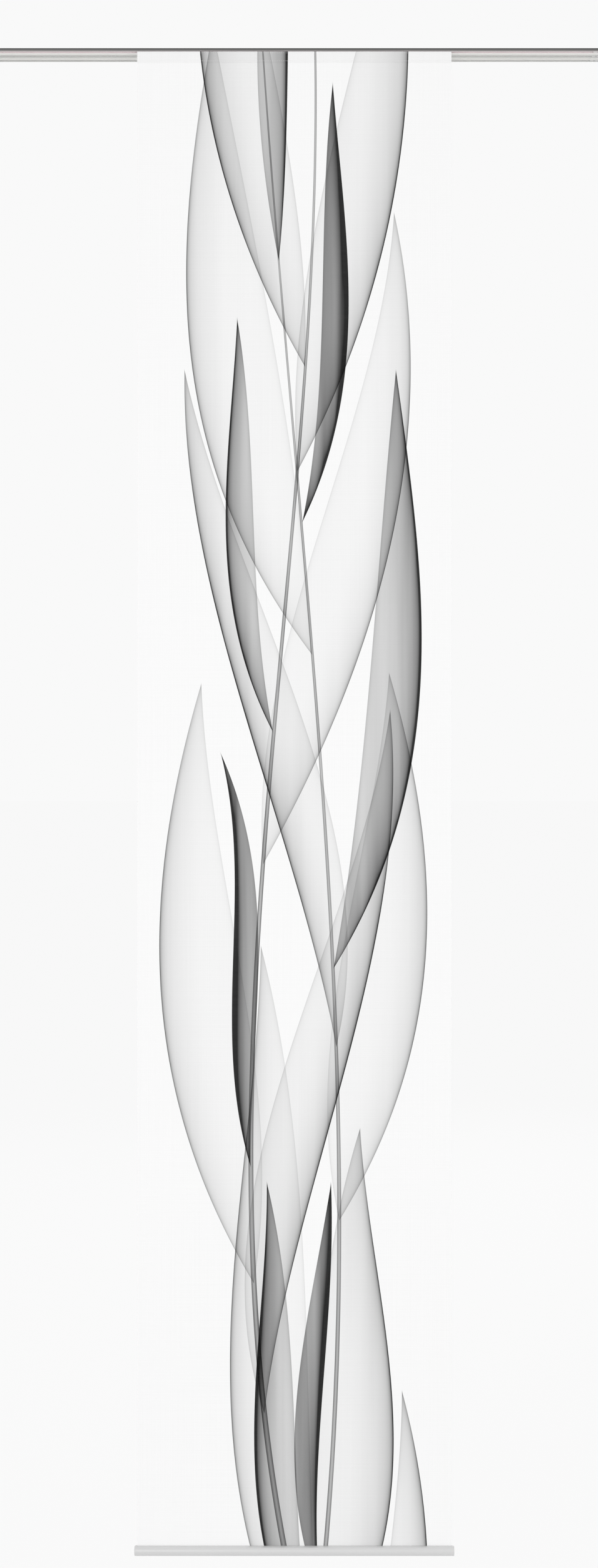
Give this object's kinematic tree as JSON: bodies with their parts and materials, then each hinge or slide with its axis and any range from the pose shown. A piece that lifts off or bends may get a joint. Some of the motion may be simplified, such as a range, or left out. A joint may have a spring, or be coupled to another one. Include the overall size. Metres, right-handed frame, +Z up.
{
  "type": "japanese panel curtain",
  "caption": "Sheer flat panel curtain that slides on a slim ceiling rail and is held straight by a round weight bar.",
  "frame": {"origin": "centre of the rail's top face, where it meets the ceiling", "axes": "+X along the rail, +Y away from the viewer to the back, +Z up into the ceiling; the panel hangs down along -Z"},
  "size_m": [1.204, 0.0685, 2.879],
  "materials": {
    "rail_aluminium": "satin anodised, dark grey along its front edge",
    "carrier_aluminium": "satin anodised",
    "bar_metal": "satin silver lacquer",
    "cap_plastic": "moulded, light grey",
    "bar_cap_plastic": "moulded, silver grey",
    "stop_plastic": "moulded, off-white",
    "glider_plastic": "moulded, slippery white",
    "screw_steel": "zinc plated",
    "hook_tape": "woven tape with stiff nylon hooks",
    "loop_tape": "woven tape with soft loops",
    "voile": "sheer polyester voile with a grey print",
    "rod_plastic": "extruded, smooth"
  },
  "bodies": {
    "rail": {"rail": "rail_aluminium", "rail_end_cap_left": "cap_plastic", "rail_end_cap_right": "cap_plastic", "stop_screws": "screw_steel", "run_stop_front_left": "stop_plastic", "run_stop_front_right": "stop_plastic", "run_stop_middle_left": "stop_plastic", "run_stop_middle_right": "stop_plastic", "run_stop_rear_left": "stop_plastic", "run_stop_rear_right": "stop_plastic"},
    "carrier": {"carrier": "carrier_aluminium", "carrier_end_cap_left": "cap_plastic", "carrier_end_cap_right": "cap_plastic", "glider_1": "glider_plastic", "glider_2": "glider_plastic", "glider_3": "glider_plastic", "glider_4": "glider_plastic", "hook_strip": "hook_tape", "loop_strip": "loop_tape", "header_cloth": "voile"},
    "screen": {"screen_cloth": "voile", "hem_loop": "voile", "hem_rod": "rod_plastic", "weight_bar": "bar_metal", "bar_end_cap_left": "bar_cap_plastic", "bar_end_cap_right": "bar_cap_plastic"}
  },
  "joints": [
    {"name": "panel_slide", "type": "slide", "parent": "rail", "child": "carrier", "axis": [1, 0, 0], "range_m": [-0.2885, 0.2885]},
    {"name": "screen_swing", "type": "hinge", "parent": "carrier", "child": "screen", "pos_m": [0, -0.029, -0.02695], "axis": [1, 0, 0], "range_deg": [-8, 8]}
  ]
}
